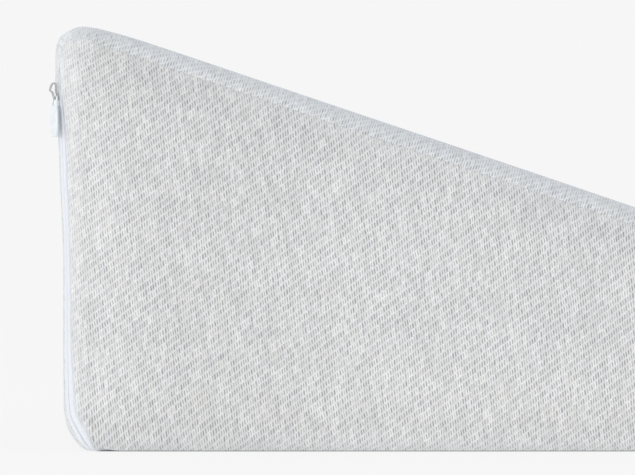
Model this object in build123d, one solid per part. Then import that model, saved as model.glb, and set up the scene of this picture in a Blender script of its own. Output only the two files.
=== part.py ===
from build123d import *
import math
import os

# Wedge cushion: a foam wedge in a removable cloth cover, closed by a coil zipper
# that runs down one rear edge, round the bottom corner and along the underside.
# Millimetres. +Z up, +X from the tall rear end to the thin front end (the nose),
# the zipper is on the -Y side. The model is drawn with the rear foot at X = 0 and
# moved at the end, so that the origin is the bottom centre of the whole object.

# ---- driving dimensions -------------------------------------------------
LENGTH = 548.0  # rear foot to nose
WIDTH = 610.0  # side to side
SLOPE_DEG = 18.69  # the sloping face against the floor
SLOPE_Z0 = 196.4  # height at which the slope's plane meets X = 0
REAR_FOOT_X = 0.8  # the rear face leans back a little, from here at the floor
REAR_TOP_X = -3.4  # to here at the slope's plane
R_TOP_REAR = 15.0
R_BOTTOM_REAR = 20.0
R_NOSE = 5.0
R_EDGE = 4.5  # roll between a side and the faces next to it
CLOTH = 1.2  # thickness of the coarse twill with its backing
FOAM_GAP = 0.15  # cloth to foam

SEAM_DEPTH = 8.0  # the slope's cloth rolls this far over onto each side
SEAM_SIDE = 6.0  # side seams on the rear and the base, in from the side face
SEAM_TOP_Z = 182.0  # cross seam below the top rear corner
SEAM_BASE_X = 22.0  # cross seam behind the bottom rear corner
SEAM_GAP = 0.8  # groove of a seam
THREAD_R = 0.3

ZIP_TURN_DEG = 30.0  # the zipper faces rearward, turned this far to the side
ZIP_IN = 1.8  # centre line of the zipper, in from the rear face
ZIP_IN_SIDE = 6.0  # and in from the side face
ZIP_TOP_Z = 168.5
ZIP_END_X = 400.0  # where the zipper ends, on the underside
LIP = 3.15  # visible width of each tape
PART = 0.5  # parting line between the tapes
TAPE = 0.9
COIL_W = 1.3
COIL_H = 1.2

SLIDER_LEN = 8.6
SLIDER_TOP_Z = 164.9
SLIDER_W_TOP = 6.5
SLIDER_W_LOW = 5.0
PLATE = 0.8
SLIDER_TRAVEL = 130.0
CROWN_LEN = 7.6
CROWN_H = 4.5
CROWN_T = 0.65
CROWN_W = 2.0
PULL_LEN = 18.4
PULL_W = 6.2
PULL_T = 1.2
PULL_EYE_T = 0.9
PULL_SLOT = 3.6  # the eye's slot, below the hinge
PULL_OPEN_DEG = 120.0

# ---- outline of the object seen from the side ---------------------------
TAN = math.tan(math.radians(SLOPE_DEG))
COS = math.cos(math.radians(SLOPE_DEG))
LEAN = (REAR_TOP_X - REAR_FOOT_X) / SLOPE_Z0


def rear_x(z):
    return REAR_FOOT_X + LEAN * z


def slope_z(x, depth=0.0):
    return SLOPE_Z0 - TAN * x - depth / COS


def rounded(points, radii, y=0.0):
    """A closed outline in the XZ plane with a radius at each corner, as a wire."""
    n = len(points)
    pts = [Vector(x, y, z) for x, z in points]
    cuts = []
    for i in range(n):
        p, q, r = pts[i - 1], pts[i], pts[(i + 1) % n]
        u, v = (p - q).normalized(), (r - q).normalized()
        half = math.acos(max(-1, min(1, u.dot(v)))) / 2
        t = radii[i] / math.tan(half)
        mid = (u + v).normalized()
        centre = q + mid * (radii[i] / math.sin(half))
        cuts.append((q + u * t, centre - mid * radii[i], q + v * t))
    edges = []
    for i in range(n):
        a, m, b = cuts[i]
        edges.append(Edge.make_three_point_arc(a, m, b))
        edges.append(Edge.make_line(b, cuts[(i + 1) % n][0]))
    return Wire(edges)


def side_outline(inset, y):
    """The side view's outline, moved in by inset, as a face at the given Y."""
    in_rear = inset * math.sqrt(1 + LEAN * LEAN)
    zs = SLOPE_Z0 - inset / COS
    top_x = (REAR_FOOT_X + in_rear + LEAN * zs) / (1 + LEAN * TAN)
    points = [
        (rear_x(inset) + in_rear, inset),
        (LENGTH - inset, inset),
        (LENGTH - inset, zs - TAN * (LENGTH - inset)),
        (top_x, zs - TAN * top_x),
    ]
    radii = [R_BOTTOM_REAR - inset, R_NOSE - inset, R_NOSE - inset, R_TOP_REAR - inset]
    return Face(rounded(points, radii, y))


def wedge(inset):
    """The whole object's rounded wedge, moved in by inset on every side."""
    half = WIDTH / 2 - inset
    body = Solid.extrude(side_outline(inset, -half), Vector(0, 2 * half, 0))
    rims = [
        e
        for e in body.edges()
        if abs(abs(e.center().Y) - half) < 1e-3
        and abs(e.bounding_box().size.Y) < 1e-3
    ]
    return fillet(rims, R_EDGE - inset)


def prism(points, y0, y1):
    """A block with the given outline in the side view, from y0 to y1."""
    face = Face(Wire.make_polygon([Vector(x, y0, z) for x, z in points], close=True))
    return Solid.extrude(face, Vector(0, y1 - y0, 0))


# ---- the zipper's line and its cross-section axes -----------------------
HALF = WIDTH / 2
phi = math.radians(ZIP_TURN_DEG)
run = Vector(LEAN, 0, 1).normalized()  # up the rear edge
out = Vector(-run.Z, 0, run.X)  # square to the rear face, outwards
side = Vector(0, -1, 0)
face_n = out * math.cos(phi) + side * math.sin(phi)  # the way the zipper faces
across = out * -math.sin(phi) + side * math.cos(phi)  # across it, towards the side


def zip_point(z):
    p = Vector(rear_x(z), -HALF + ZIP_IN_SIDE, z) - out * ZIP_IN
    return p + run * ((z - p.Z) / run.Z)


def zip_path(z_top, x_end, cut_end=True):
    """Down the rear edge, round the bottom corner and along the underside."""
    top = zip_point(z_top)
    foot = zip_point(ZIP_IN)
    end = Vector(x_end, top.Y, ZIP_IN)
    turn = math.acos((-run.X * 1.0))  # between the run down and the run forward
    r = R_BOTTOM_REAR - ZIP_IN
    cut = r * math.tan((math.pi - (math.pi - turn)) / 2)
    a = foot + run * cut
    b = foot + Vector(1, 0, 0) * cut
    mid_dir = (run + Vector(1, 0, 0)).normalized()
    centre = foot + mid_dir * (r / math.sin((math.pi - turn) / 2))
    mid = centre - mid_dir * r
    return Wire(
        [
            Edge.make_line(top, a),
            Edge.make_three_point_arc(a, mid, b),
            Edge.make_line(b, end),
        ]
    )


def zip_section(corners, z_top):
    """A closed section: corners are (along `across`, along `face_n`)."""
    o = zip_point(z_top)
    pts = [o + across * s + face_n * d for s, d in corners]
    # the section lies square to the rear run
    return Face(Wire.make_polygon(pts, close=True))


def zip_sweep(corners, z_top, x_end):
    return sweep(zip_section(corners, z_top), path=zip_path(z_top, x_end))


def rect(s0, s1, d0, d1):
    return [(s0, d0), (s1, d0), (s1, d1), (s0, d1)]


# ---- cover and foam -----------------------------------------------------
outer = wedge(0)
inner = wedge(CLOTH)
shell = outer - inner

# cloth and foam leave room for the zipper
cloth_cut = zip_sweep(rect(-3.6, 3.6, -2.2, 9.0), ZIP_TOP_Z + 0.4, ZIP_END_X + 0.4)
foam_cut = zip_sweep(rect(-4.6, 4.6, -4.2, 9.0), ZIP_TOP_Z + 1.5, ZIP_END_X + 1.5)

foam_core = wedge(CLOTH + FOAM_GAP) - foam_cut

g = SEAM_GAP / 2
far_x = LENGTH + 5
seam_x = (SLOPE_Z0 - SEAM_DEPTH / COS - SEAM_TOP_Z) / TAN  # where the two seams meet


def below_top_seam(gap):
    return [
        (-20, -5),
        (far_x, -5),
        (far_x, slope_z(far_x, SEAM_DEPTH) - gap),
        (seam_x, SEAM_TOP_Z - gap),
        (-20, SEAM_TOP_Z - gap),
    ]


def above_top_seam(gap):
    return [
        (-20, 230),
        (-20, SEAM_TOP_Z + gap),
        (seam_x, SEAM_TOP_Z + gap),
        (far_x, slope_z(far_x, SEAM_DEPTH) + gap),
        (far_x, 230),
    ]


def side_panel(sign):
    y0 = -HALF - 2
    y1 = -HALF + SEAM_SIDE - g
    block = prism(below_top_seam(g), y0, y1)
    if sign > 0:
        block = mirror(block, about=Plane.XZ)
    return shell & block


middle = (-HALF + SEAM_SIDE + g, HALF - SEAM_SIDE - g)
slope_panel = shell & prism(above_top_seam(g), -HALF - 2, HALF + 2)
rear_block = prism(
    [
        (-20, -5),
        (SEAM_BASE_X - g, -5),
        (SEAM_BASE_X - g, 60),
        (20, 100),
        (20, SEAM_TOP_Z - g),
        (-20, SEAM_TOP_Z - g),
    ],
    *middle,
)
rear_panel = shell & rear_block
base_block = prism(
    [
        (SEAM_BASE_X + g, -5),
        (far_x, -5),
        (far_x, slope_z(far_x, SEAM_DEPTH) - g),
        (SEAM_BASE_X + g, 60),
    ],
    *middle,
)
base_panel = shell & base_block
side_panel_near = side_panel(-1) - cloth_cut
side_panel_far = side_panel(+1)
rear_panel = rear_panel - cloth_cut
base_panel = base_panel - cloth_cut

# ---- zipper -------------------------------------------------------------
p = PART / 2
zipper_tape_side = zip_sweep(rect(p, p + LIP, -TAPE, 0), ZIP_TOP_Z, ZIP_END_X)
zipper_tape_wrap = zip_sweep(rect(-p - LIP, -p, -TAPE, 0), ZIP_TOP_Z, ZIP_END_X)
c0 = TAPE + 0.02


def coil(sign):
    """One row of coil as a rod with bevelled corners, on the back of its tape."""
    k = 0.3
    s0, s1 = p + 0.02, p + 0.02 + COIL_W
    d0, d1 = -c0 - COIL_H, -c0
    pts = [
        (s0 + k, d0),
        (s1 - k, d0),
        (s1, d0 + k),
        (s1, d1 - k),
        (s1 - k, d1),
        (s0 + k, d1),
        (s0, d1 - k),
        (s0, d0 + k),
    ]
    if sign < 0:
        pts = [(-s, d) for s, d in reversed(pts)]
    return zip_sweep(pts, ZIP_TOP_Z - 1.0, ZIP_END_X - 1.0)


zipper_coil_side = coil(+1)
zipper_coil_wrap = coil(-1)


def at_zip(z, s, d):
    return zip_point(z) + across * s + face_n * d


def zip_block(z0, z1, s0, s1, d0, d1, round_r=0.0):
    """A straight block on the rear run, between heights z0 and z1 measured along it."""
    pts = [at_zip(z0, s, d) for s, d in rect(s0, s1, d0, d1)]
    solid = Solid.extrude(Face(Wire.make_polygon(pts, close=True)), run * (z1 - z0))
    if round_r:
        solid = fillet(solid.edges(), round_r)
    return solid


# a crimped stop on each tape, just above the slider
zipper_top_stops = [
    zip_block(ZIP_TOP_Z - 2.6, ZIP_TOP_Z - 0.6, sg * 0.35 if sg > 0 else -1.75,
              sg * 1.75 if sg > 0 else -0.35, 0.02, 0.75, 0.15)
    for sg in (1, -1)
]

# the bottom stop is a staple-like box across both tapes at the chain's far end
under_n = Vector(0, -math.sin(phi), -math.cos(phi))
under_a = Vector(0, -math.cos(phi), math.sin(phi))
stop_o = Vector(ZIP_END_X - 6.0, -HALF + ZIP_IN_SIDE, ZIP_IN)
stop_pts = [stop_o + under_a * s + under_n * d for s, d in rect(-1.9, 1.9, 0.02, 0.7)]
zipper_bottom_stop = fillet(
    Solid.extrude(
        Face(Wire.make_polygon(stop_pts, close=True)), Vector(4.0, 0, 0)
    ).edges(),
    0.15,
)

# ---- slider -------------------------------------------------------------
low_z = SLIDER_TOP_Z - SLIDER_LEN


def plate_shape(d0, d1, scale=1.0):
    """A slider plate: wide shoulders at the top, narrower mouth at the bottom."""
    wt, wl = SLIDER_W_TOP / 2 * scale, SLIDER_W_LOW / 2 * scale
    L = SLIDER_LEN
    outline = [
        (-wl, 0), (wl, 0), (wl, 0.30 * L), (wt, 0.62 * L), (wt, 0.88 * L),
        (wt - 1.1, L), (0.9, L), (0, L - 0.9), (-0.9, L), (-wt + 1.1, L),
        (-wt, 0.88 * L), (-wt, 0.62 * L), (-wl, 0.30 * L),
    ]
    o = zip_point(low_z)
    pts = [o + across * s + run * h + face_n * d0 for s, h in outline]
    solid = Solid.extrude(Face(Wire.make_polygon(pts, close=True)), face_n * (d1 - d0))
    return solid


outer_plate = plate_shape(0.2, 0.2 + PLATE)
top_faces = outer_plate.faces().sort_by_distance(at_zip(low_z + 4, 0, 30))[0]
outer_plate = fillet(top_faces.edges(), 0.3)
inner_plate = plate_shape(-c0 - COIL_H - 0.2 - PLATE, -c0 - COIL_H - 0.2, 0.96)
neck = zip_block(SLIDER_TOP_Z - 3.6, SLIDER_TOP_Z - 1.2, -0.15, 0.15,
                 -c0 - COIL_H - 0.3, 0.3)
slider_body = outer_plate + inner_plate + neck

# the crown: a bent strip that stands on the outer plate as a closed loop
deck = 0.2 + PLATE
crown_z0 = SLIDER_TOP_Z + 0.2 - CROWN_LEN


def crown_outline(inset):
    L, H = CROWN_LEN, CROWN_H
    pts = [
        (inset, deck + inset * 0.8),
        (inset, deck + 0.45 * H),
        (0.22 * L + inset * 0.4, deck + H - inset),
        (0.62 * L, deck + H - inset),
        (L - inset, deck + 0.40 * H),
        (L - inset, deck + inset * 0.8),
    ]
    o = zip_point(crown_z0)
    return [o + across * (-CROWN_W / 2) + run * h + face_n * d for h, d in pts]


crown_out = Solid.extrude(
    Face(Wire.make_polygon(crown_outline(0), close=True)), across * CROWN_W
)
crown_in = Solid.extrude(
    Face(
        Wire.make_polygon(
            [q - across * 1.0 for q in crown_outline(CROWN_T)], close=True
        )
    ),
    across * (CROWN_W + 2.0),
)
slider_crown = crown_out - crown_in

# the pull hangs from the crown by the bar across the top of its slot
BAR = 0.9
hinge_h = CROWN_T + 0.70  # above the crown's foot, along the run
hinge_d = deck + 0.80 * CROWN_T + 1.15
hinge = zip_point(crown_z0) + run * hinge_h + face_n * hinge_d


def pull_solid(outline, d0, d1):
    pts = [hinge + across * s + run * h + face_n * d0 for s, h in outline]
    return Solid.extrude(Face(Wire.make_polygon(pts, close=True)), face_n * (d1 - d0))


w = PULL_W / 2
wn = 2.1
tip = -PULL_LEN + BAR / 2
neck_h = -PULL_SLOT - 0.5
eye_outline = [
    (-wn, BAR / 2), (wn, BAR / 2), (wn, -2.2), (w - 0.25, neck_h),
    (-w + 0.25, neck_h), (-wn, -2.2),
]
blade_outline = [
    (-w + 0.25, neck_h), (w - 0.25, neck_h), (w, neck_h - 1.8), (w, tip + 1.6),
    (w - 0.5, tip + 0.5), (w - 1.6, tip), (-w + 1.6, tip), (-w + 0.5, tip + 0.5),
    (-w, tip + 1.6), (-w, neck_h - 1.8),
]
slot_outline = [
    (-1.2, -BAR / 2), (1.2, -BAR / 2), (1.2, -PULL_SLOT), (-1.2, -PULL_SLOT)
]
pull_eye = pull_solid(eye_outline, -PULL_EYE_T / 2, PULL_EYE_T / 2)
pull_eye = pull_eye - pull_solid(slot_outline, -PULL_T, PULL_T)
pull_blade = pull_solid(blade_outline, -PULL_T / 2, PULL_T / 2)
long_edges = [
    e for e in pull_blade.edges()
    if e.length > 5.0 and abs((e.center() - hinge).dot(across)) > 2
]
pull_blade = chamfer(long_edges, 0.25)
pull_tab = pull_eye + pull_blade

# ---- seam threads -------------------------------------------------------


def thread(a, b):
    a, b = Vector(*a), Vector(*b)
    d = b - a
    return Solid.make_cylinder(THREAD_R, d.length, Plane(origin=a, z_dir=d.normalized()))


yf = HALF - CLOTH / 2  # in the thickness of a side panel
ys = HALF - SEAM_SIDE  # the seams on the rear and the base
nose_x = LENGTH - 12
slope_a = (seam_x + 0.6, slope_z(seam_x + 0.6, SEAM_DEPTH))
slope_b = (nose_x, slope_z(nose_x, SEAM_DEPTH))
rear_mid = lambda z: rear_x(z) + CLOTH / 2

seam_thread_near = [
    thread((slope_a[0], -yf, slope_a[1]), (slope_b[0], -yf, slope_b[1])),
    thread((rear_mid(172.0), -ys, 172.0), (rear_mid(180.5), -ys, 180.5)),
    thread((ZIP_END_X + 3, -ys, CLOTH / 2), (nose_x, -ys, CLOTH / 2)),
]
seam_thread_far = [
    thread((slope_a[0], yf, slope_a[1]), (slope_b[0], yf, slope_b[1])),
    thread((rear_mid(24.0), ys, 24.0), (rear_mid(180.5), ys, 180.5)),
    thread((SEAM_BASE_X + 2, ys, CLOTH / 2), (nose_x, ys, CLOTH / 2)),
]
seam_thread_top_rear = [
    thread((rear_mid(SEAM_TOP_Z), -ys + 2, SEAM_TOP_Z), (rear_mid(SEAM_TOP_Z), ys - 2, SEAM_TOP_Z))
]
seam_thread_rear_base = [
    thread((SEAM_BASE_X, -ys + 8, CLOTH / 2), (SEAM_BASE_X, ys - 2, CLOTH / 2))
]

# ---- write every piece, with the origin at the bottom centre ------------
parts = {
    "foam_core": [foam_core],
    "side_panel_near": [side_panel_near],
    "side_panel_far": [side_panel_far],
    "slope_panel": [slope_panel],
    "rear_panel": [rear_panel],
    "base_panel": [base_panel],
    "zipper_tape_side": [zipper_tape_side],
    "zipper_tape_wrap": [zipper_tape_wrap],
    "zipper_coil_side": [zipper_coil_side],
    "zipper_coil_wrap": [zipper_coil_wrap],
    "zipper_top_stops": zipper_top_stops,
    "zipper_bottom_stop": [zipper_bottom_stop],
    "slider_body": [slider_body],
    "slider_crown": [slider_crown],
    "pull_tab": [pull_tab],
    "seam_thread_near": seam_thread_near,
    "seam_thread_far": seam_thread_far,
    "seam_thread_top_rear": seam_thread_top_rear,
    "seam_thread_rear_base": seam_thread_rear_base,
}

os.makedirs("parts", exist_ok=True)
groups = {}
for name, solids in parts.items():
    flat = [s for item in solids for s in item.solids()]
    groups[name] = Compound(children=flat)
boxes = [c.bounding_box() for c in groups.values()]
low = Vector(*[min(getattr(b.min, k) for b in boxes) for k in "XYZ"])
high = Vector(*[max(getattr(b.max, k) for b in boxes) for k in "XYZ"])
shift = Vector(-(low.X + high.X) / 2, -(low.Y + high.Y) / 2, -low.Z)
for name, c in groups.items():
    export_step(c.moved(Location(shift)), f"parts/{name}.step")

print("size", high - low, "shift", shift)
print("slide axis", run * -1, "hinge at", hinge + shift, "hinge axis", (run * -1).cross(face_n))
print("zip top", zip_point(ZIP_TOP_Z) + shift, "face_n", face_n, "across", across)
print("slope point", Vector(270, 0, slope_z(270)) + shift)
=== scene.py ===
import math

import bpy
import bmesh
import numpy as np
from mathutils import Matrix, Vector
from mathutils.geometry import delaunay_2d_cdt


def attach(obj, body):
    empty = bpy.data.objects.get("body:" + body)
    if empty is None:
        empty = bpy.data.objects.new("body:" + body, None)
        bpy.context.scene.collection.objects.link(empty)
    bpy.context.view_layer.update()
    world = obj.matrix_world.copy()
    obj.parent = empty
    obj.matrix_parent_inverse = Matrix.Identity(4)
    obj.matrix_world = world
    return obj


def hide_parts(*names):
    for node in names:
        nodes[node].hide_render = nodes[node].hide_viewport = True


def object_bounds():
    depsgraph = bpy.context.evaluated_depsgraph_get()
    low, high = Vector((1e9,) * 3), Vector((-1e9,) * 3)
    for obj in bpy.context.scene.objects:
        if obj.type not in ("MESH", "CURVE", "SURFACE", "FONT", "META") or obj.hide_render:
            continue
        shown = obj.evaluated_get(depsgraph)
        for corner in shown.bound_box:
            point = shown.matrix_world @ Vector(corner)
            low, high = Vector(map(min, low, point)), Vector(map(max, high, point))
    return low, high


# Wedge cushion: a foam wedge in a zipped cover of coarse light twill.
# The cover is drawn as unrolled cloth: every panel is a patch of one skin
# skin(s, c), where s runs round the side view's outline and c runs across it,
# from the plane of the near side over the rolled edge and on across the width.
# Everything is worked out in millimetres with the rear foot at X = 0, and moved
# to the frame at the end.

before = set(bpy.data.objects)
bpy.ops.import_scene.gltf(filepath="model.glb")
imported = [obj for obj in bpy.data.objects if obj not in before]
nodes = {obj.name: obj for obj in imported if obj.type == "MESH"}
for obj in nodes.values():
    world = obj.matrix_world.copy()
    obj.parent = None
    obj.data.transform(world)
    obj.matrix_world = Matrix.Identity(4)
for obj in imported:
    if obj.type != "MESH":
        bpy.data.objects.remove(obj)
cad_lo, cad_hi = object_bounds()
cad_lo, cad_hi = list(cad_lo), list(cad_hi)

SHIFT = -270.935          # local x to frame x, mm
HALF = 305.0

# ------------------------------------------------------------ side outline
SLOPE_DEG = 18.69
TAN = math.tan(math.radians(SLOPE_DEG))
COS = math.cos(math.radians(SLOPE_DEG))
Z0 = 196.4
FOOT, LEAN = 0.8, (-3.4 - 0.8) / 196.4
LENGTH = 548.0


def rear_x(z):
    return FOOT + LEAN * z


top_x = (FOOT + LEAN * Z0) / (1 + LEAN * TAN)
CORNERS = [
    ((rear_x(0), 0.0), 20.0),
    ((LENGTH, 0.0), 5.0),
    ((LENGTH, Z0 - TAN * LENGTH), 5.0),
    ((top_x, Z0 - TAN * top_x), 15.0),
]


def outline(step_line=2.5, step_arc=4.0):
    """Points, outward normals and arc length round the side view, starting at the
    top of the straight rear edge and going down it, forward and back up."""
    n = len(CORNERS)
    cuts = []
    for i in range(n):
        p = np.array(CORNERS[i - 1][0]); q = np.array(CORNERS[i][0])
        r = np.array(CORNERS[(i + 1) % n][0]); R = CORNERS[i][1]
        u = (p - q) / np.linalg.norm(p - q); v = (r - q) / np.linalg.norm(r - q)
        half = math.acos(float(np.clip(u @ v, -1, 1))) / 2
        t = R / math.tan(half)
        mid = (u + v) / np.linalg.norm(u + v)
        cuts.append((q + u * t, q + mid * R / math.sin(half), q + v * t, R))
    P, N, tag = [], [], []
    for i in range(n):
        a = cuts[i - 1][2]; b = cuts[i][0]
        d = b - a; L = np.linalg.norm(d); d = d / L
        k = max(2, int(L / step_line))
        nn = np.array([d[1], -d[0]])
        for j in range(k):
            P.append(a + d * L * j / k); N.append(nn); tag.append(i)
        c, R = cuts[i][1], cuts[i][3]
        v0, v1 = cuts[i][0] - c, cuts[i][2] - c
        a0 = math.atan2(v0[1], v0[0]); a1 = math.atan2(v1[1], v1[0])
        while a1 < a0:
            a1 += 2 * math.pi
        k = max(3, int(math.degrees(a1 - a0) / step_arc))
        for j in range(k):
            w = a0 + (a1 - a0) * j / k
            P.append(c + R * np.array([math.cos(w), math.sin(w)]))
            N.append(np.array([math.cos(w), math.sin(w)])); tag.append(10 + i)
    P, N = np.array(P), np.array(N)
    d = np.linalg.norm(np.roll(P, -1, 0) - P, axis=1)
    S = np.concatenate([[0], np.cumsum(d)])
    return P, N, S[:-1], S[-1], np.array(tag)


OP, ON, OS, TOTAL, OT = outline(1.0, 2.0)
_P = np.vstack([OP, OP[:1]]); _N = np.vstack([ON, ON[:1]]); _S = np.append(OS, TOTAL)


def at(s):
    """Outline point and outward normal at arc length s (wraps round)."""
    s = np.mod(np.asarray(s, float), TOTAL)
    p = np.stack([np.interp(s, _S, _P[:, k]) for k in (0, 1)], -1)
    n = np.stack([np.interp(s, _S, _N[:, k]) for k in (0, 1)], -1)
    return p, n / np.linalg.norm(n, axis=-1, keepdims=True)


def s_of(x=None, z=None, part="rear"):
    """Arc length of a place on the rear (z), base (x), slope (x) or a corner (degrees)."""
    if part == "rear":
        m = OT == 0
        return float(np.interp(-z, -OP[m, 1], OS[m]))
    if part == "base":
        m = OT == 1
        return float(np.interp(x, OP[m, 0], OS[m]))
    if part == "slope":
        m = OT == 3
        return float(np.interp(-x, -OP[m, 0], OS[m]))
    if part == "foot":          # bottom rear corner, 0 at the rear, 90 at the base
        m = OT == 10
        t = np.degrees(np.arctan2(-ON[m, 1], -ON[m, 0]))
        return float(np.interp(x, t, OS[m]))
    if part == "top":           # top rear corner, fraction from the slope to the rear
        m = np.nonzero(OT == 13)[0]
        return float(OS[m[0]] + x * (TOTAL - OS[m[0]]))


def table(rows):
    """Smooth function of arc length from (s, value) rows, periodic."""
    rows = sorted((r[0] % TOTAL, r[1]) for r in rows)
    s = np.array([rows[-1][0] - TOTAL] + [r[0] for r in rows] + [rows[0][0] + TOTAL])
    v = np.array([rows[-1][1]] + [r[1] for r in rows] + [rows[0][1]], float)
    # monotone cubic (PCHIP) so that nothing overshoots
    h = np.diff(s); dl = np.diff(v) / h
    m = np.zeros_like(v)
    for i in range(1, len(v) - 1):
        if dl[i - 1] * dl[i] > 0:
            w1, w2 = 2 * h[i] + h[i - 1], h[i] + 2 * h[i - 1]
            m[i] = (w1 + w2) / (w1 / dl[i - 1] + w2 / dl[i])

    def f(q):
        q = np.mod(np.asarray(q, float), TOTAL)
        i = np.clip(np.searchsorted(s, q, "right") - 1, 0, len(h) - 1)
        t = (q - s[i]) / h[i]
        return ((2 * t**3 - 3 * t**2 + 1) * v[i] + (t**3 - 2 * t**2 + t) * h[i] * m[i]
                + (-2 * t**3 + 3 * t**2) * v[i + 1] + (t**3 - t**2) * h[i] * m[i + 1])

    return f


rear, base, slope, foot, top = (
    lambda z: s_of(z=z), lambda x: s_of(x, part="base"), lambda x: s_of(x, part="slope"),
    lambda d: s_of(d, part="foot"), lambda t: s_of(t, part="top"))
S_NOSE = base(541.0) + 9.0          # seam of slope and base cloth on the nose

# radius of the rolled edge
roll = table([
    (rear(160), 12), (rear(30), 12), (foot(20), 11.5), (foot(60), 9), (foot(88), 7),
    (base(40), 6), (base(420), 5.6), (base(520), 4.9), (base(542), 4.7),
    (slope(541), 4.8), (slope(500), 6), (slope(430), 8.5), (slope(350), 9.5), (slope(60), 9.5),
    (top(0.1), 10), (top(0.6), 11.5),
])


def e_at(s, inset):
    """Distance past the flat of the side at which the skin is `inset` inside the outline."""
    r = roll(s)
    return np.where(inset < r, r * np.arcsin(np.clip(1 - inset / r, -1, 1)), r - inset)


# ------------------------------------------------------------ where the cloth ends
SLOPE_IN = 8.0
SEAM = 0.30          # half of a seam's groove
slope_rows = [(slope(541), 3.4), (slope(500), 4.4), (slope(430), 6.8), (slope(355), 7.9), (slope(300), SLOPE_IN), (slope(60), SLOPE_IN),
              (top(0.0), 7.6), (top(0.25), 6.2), (top(0.5), 4.4), (top(0.8), 2.9)]
part_near = table([(s, float(e_at(s, i))) for s, i in slope_rows] + [
    (rear(176), float(e_at(rear(176), 2.2))), (rear(170), float(e_at(rear(170), 1.9))),
    (rear(160), float(e_at(rear(160), 1.75))), (rear(140), float(e_at(rear(140), 1.9))),
    (rear(60), float(e_at(rear(60), 2.15))), (rear(28), float(e_at(rear(28), 2.4))),
    (foot(12), float(e_at(foot(12), 2.75))), (foot(40), float(e_at(foot(40), 3.4))),
    (foot(52), float(e_at(foot(52), 2.9))), (foot(61), float(e_at(foot(61), 2.0))),
    (foot(68), float(e_at(foot(68), 0.9))), (foot(75), 12.4), (foot(81), 13.8),
    (base(24), 14.2), (base(45), 14.2), (base(520), 12.0), (base(540), 6.6), (S_NOSE, 1.3)])
w_side = table([(rear(168.4), SEAM), (rear(164), 0.6), (rear(156), 1.6), (rear(146), 1.9), (rear(60), 2.1),
                (rear(30), 2.9), (foot(12), 3.3), (foot(45), 3.1), (foot(80), 2.9), (base(40), 2.6),
                (base(400), 2.6), (base(404), SEAM)])
w_wrap = table([(rear(168.4), SEAM), (rear(164), 0.8), (rear(156), 2.0), (rear(146), 2.7), (rear(60), 3.2),
                (rear(28), 3.9), (foot(15), 3.4), (foot(40), 2.8), (foot(70), 2.8), (base(40), 3.0),
                (base(400), 3.0), (base(404), SEAM)])
part_far = table([(s, float(e_at(s, i))) for s, i in slope_rows] + [
    (rear(172), 11.2), (rear(150), 12.2), (rear(40), 12.2), (foot(45), 11.4),
    (base(26), 9.6), (base(520), 8.2), (base(540), 5.6), (S_NOSE, 1.3)])

S_ZIP0, S_ZIP1 = rear(168.5), base(400.0)


def smooth(x):
    x = np.clip(x, 0, 1)
    return x * x * (3 - 2 * x)


def zipped(s):
    """1 where the near edge is the open length of the zipper, 0 where it is a plain seam."""
    s = np.mod(s, TOTAL)
    return smooth((s - (S_ZIP0 - 1.5)) / 2.5) * smooth(((S_ZIP1 + 2.0) - s) / 4.0)


def seam_half(s):
    """The plain seam gapes a little just above the zipper."""
    d = np.mod(np.asarray(s, float) - rear(171.5) + TOTAL / 2, TOTAL) - TOTAL / 2
    return SEAM + 0.30 * np.exp(-(d / 2.6) ** 2)


def side_edge(s, far=False):
    if far:
        return part_far(s) - SEAM
    z = zipped(s)
    return part_near(s) - (w_side(s) * z + seam_half(s) * (1 - z))


def wrap_edge(s, far=False):
    if far:
        return part_far(s) + SEAM
    z = zipped(s)
    return part_near(s) + (w_wrap(s) * z + seam_half(s) * (1 - z))


# ------------------------------------------------------------ the skin
def seg_dist(x, z, a, b):
    ax, az = a; bx, bz = b
    dx, dz = bx - ax, bz - az
    t = np.clip(((x - ax) * dx + (z - az) * dz) / (dx * dx + dz * dz), 0, 1)
    return np.hypot(x - ax - t * dx, z - az - t * dz), t


# faint folds and pulls in the side's cloth: ends (x, z), width, height, all mm
CREASES = [
    ((48.8, 31.0), (54.2, 11.5), 1.6, 0.34),
    ((41.0, 95.0), (50.0, 20.0), 4.0, 0.22),
    ((30.0, 150.0), (36.0, 60.0), 7.0, -0.28),
    ((96.0, 118.0), (112.0, 40.0), 9.0, 0.25),
    ((160.0, 110.0), (188.0, 20.0), 11.0, -0.30),
    ((60.0, 165.0), (120.0, 142.0), 6.0, -0.22),
    ((210.0, 95.0), (250.0, 12.0), 10.0, 0.25),
    ((300.0, 80.0), (330.0, 8.0), 12.0, -0.3),
    ((12.0, 20.0), (34.0, 8.0), 3.0, 0.25),
]


def waves(u, v, seed, size, amp, count=7):
    r = np.random.default_rng(seed)
    out = np.zeros_like(u)
    for _ in range(count):
        w = size * (0.6 + 1.2 * r.random())
        a = r.random() * 2 * math.pi
        out = out + np.sin(2 * math.pi * (u * math.cos(a) + v * math.sin(a)) / w + r.random() * 6.28)
    return amp * out / math.sqrt(count)


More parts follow.
